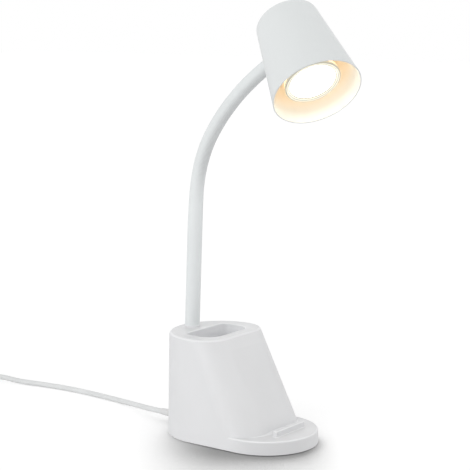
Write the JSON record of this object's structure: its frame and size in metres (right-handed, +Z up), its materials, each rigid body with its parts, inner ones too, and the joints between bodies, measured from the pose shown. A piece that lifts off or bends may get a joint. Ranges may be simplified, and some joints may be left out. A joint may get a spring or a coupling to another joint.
{
  "type": "desk lamp",
  "caption": "Gooseneck desk lamp with a conical reflector head on a weighted base that holds pens in a well and a phone on a sloping rest.",
  "frame": {"origin": "centre of the base's underside, on the surface that it stands on", "axes": "+Z up, +X towards the phone tray at the front, +Y to the lamp's left"},
  "size_m": [0.5756, 0.173, 0.4018],
  "materials": {
    "base_plastic": "semi-gloss moulded ABS",
    "cover_plastic": "matt moulded ABS",
    "pad_foam": "closed-cell foam",
    "plated_steel": "zinc plated",
    "screw_steel": "zinc plated",
    "cord_jacket": "soft white PVC",
    "wire_jacket": "insulated wire",
    "bushing_rubber": "soft white PVC",
    "clear_nylon": "natural nylon",
    "shade_enamel": "white enamel",
    "collar_metal": "nickel plated",
    "bulb_shell": "moulded shell over aluminium",
    "bulb_ring": "gloss",
    "bulb_diffuser": "frosted diffuser",
    "bulb_board_white": "solder mask",
    "pin_brass": "nickel-plated brass",
    "holder_ceramic": "glazed ceramic",
    "neck_sleeve": "satin PVC sleeve",
    "neck_coil": "wound steel",
    "rocker_plastic": "gloss",
    "switch_plastic": "satin",
    "plug_plastic": "moulded soft PVC"
  },
  "bodies": {
    "root": {"base_housing": "base_plastic", "bottom_cover": "cover_plastic", "foot_pad": "pad_foam", "counterweight": "plated_steel", "cover_screws": "screw_steel", "counterweight_screws": "screw_steel", "inner_lead": "cord_jacket", "base_wires": "wire_jacket", "cord_bushing": "bushing_rubber", "terminal_block": "clear_nylon", "terminal_screws": "screw_steel", "cord_clamp": "cover_plastic", "clamp_screws": "screw_steel", "foot_stud": "plated_steel", "neck_foot_ring": "base_plastic", "foot_washer": "plated_steel", "foot_nut": "plated_steel", "mains_cord": "cord_jacket", "cord_coil": "cord_jacket", "switch_contacts": "pin_brass", "switch_base": "switch_plastic", "switch_cover": "switch_plastic", "switch_screws": "screw_steel", "plug_body": "plug_plastic", "plug_pins": "pin_brass", "neck_sleeve_1": "neck_sleeve", "neck_core_1": "neck_coil"},
    "neck_2": {"neck_sleeve_2": "neck_sleeve", "neck_core_2": "neck_coil"},
    "neck_3": {"neck_sleeve_3": "neck_sleeve", "neck_core_3": "neck_coil"},
    "neck_4": {"neck_sleeve_4": "neck_sleeve", "neck_core_4": "neck_coil"},
    "neck_5": {"neck_sleeve_5": "neck_sleeve", "neck_core_5": "neck_coil"},
    "neck_6": {"neck_sleeve_6": "neck_sleeve", "neck_core_6": "neck_coil"},
    "neck_7": {"neck_sleeve_7": "neck_sleeve", "neck_core_7": "neck_coil"},
    "neck_8": {"neck_sleeve_8": "neck_sleeve", "neck_core_8": "neck_coil"},
    "neck_9": {"neck_sleeve_9": "neck_sleeve", "neck_core_9": "neck_coil", "head_stud": "plated_steel", "head_washer": "plated_steel", "head_nut": "plated_steel"},
    "head": {"shade": "shade_enamel", "swivel_collar": "collar_metal", "swivel_seat": "cover_plastic", "lamp_holder": "holder_ceramic", "holder_bracket": "plated_steel", "bracket_screws": "screw_steel", "head_wires": "wire_jacket"},
    "bulb": {"bulb_body": "bulb_shell", "bulb_bezel": "bulb_ring", "bulb_lens": "bulb_diffuser", "bulb_board": "bulb_board_white", "bulb_pins": "pin_brass"},
    "rocker": {"switch_rocker": "rocker_plastic"}
  },
  "joints": [
    {"name": "neck_side_bend_1", "type": "hinge", "parent": "root", "child": "neck_2", "pos_m": [-0.05766, 0, 0.12831], "axis": [0.9992, 0, -0.0401], "range_deg": [-12, 12]},
    {"name": "neck_fore_bend_1", "type": "hinge", "parent": "neck_2", "child": "neck_3", "pos_m": [-0.05643, 0, 0.15912], "axis": [0, 1, 0], "range_deg": [-15, 15]},
    {"name": "neck_side_bend_2", "type": "hinge", "parent": "neck_3", "child": "neck_4", "pos_m": [-0.05519, 0, 0.18993], "axis": [0.9992, 0, -0.0401], "range_deg": [-12, 12]},
    {"name": "neck_fore_bend_2", "type": "hinge", "parent": "neck_4", "child": "neck_5", "pos_m": [-0.05344, 0, 0.22071], "axis": [0, 1, 0], "range_deg": [-15, 15]},
    {"name": "neck_side_bend_3", "type": "hinge", "parent": "neck_5", "child": "neck_6", "pos_m": [-0.04802, 0, 0.251], "axis": [0.9608, 0, -0.2773], "range_deg": [-12, 12]},
    {"name": "neck_fore_bend_3", "type": "hinge", "parent": "neck_6", "child": "neck_7", "pos_m": [-0.03559, 0, 0.27912], "axis": [0, 1, 0], "range_deg": [-15, 15]},
    {"name": "neck_side_bend_4", "type": "hinge", "parent": "neck_7", "child": "neck_8", "pos_m": [-0.01731, 0, 0.30391], "axis": [0.7524, 0, -0.6587], "range_deg": [-12, 12]},
    {"name": "neck_fore_bend_4", "type": "hinge", "parent": "neck_8", "child": "neck_9", "pos_m": [0.00453, 0, 0.32564], "axis": [0, 1, 0], "range_deg": [-15, 15]},
    {"name": "head_swivel", "type": "hinge", "parent": "neck_9", "child": "head", "pos_m": [0.02907, 0, 0.34426], "axis": [0.8339, 0, 0.5519], "range_deg": [-150, 150]},
    {"name": "bulb_twist", "type": "hinge", "parent": "head", "child": "bulb", "pos_m": [0.09367, -0.01985, 0.3237], "axis": [-0.6263, 0.3485, 0.6974], "range_deg": [0, 18]},
    {"name": "rocker_tip", "type": "hinge", "parent": "root", "child": "rocker", "pos_m": [-0.362, -0.006, 0.0126], "axis": [0.342, -0.9397, 0], "range_deg": [-18, 0]}
  ],
  "couplings": [
    {"joint": "neck_side_bend_2", "follows": "neck_side_bend_1", "ratio": 1},
    {"joint": "neck_fore_bend_2", "follows": "neck_fore_bend_1", "ratio": 1},
    {"joint": "neck_side_bend_3", "follows": "neck_side_bend_1", "ratio": 1},
    {"joint": "neck_fore_bend_3", "follows": "neck_fore_bend_1", "ratio": 1},
    {"joint": "neck_side_bend_4", "follows": "neck_side_bend_1", "ratio": 1},
    {"joint": "neck_fore_bend_4", "follows": "neck_fore_bend_1", "ratio": 1}
  ]
}
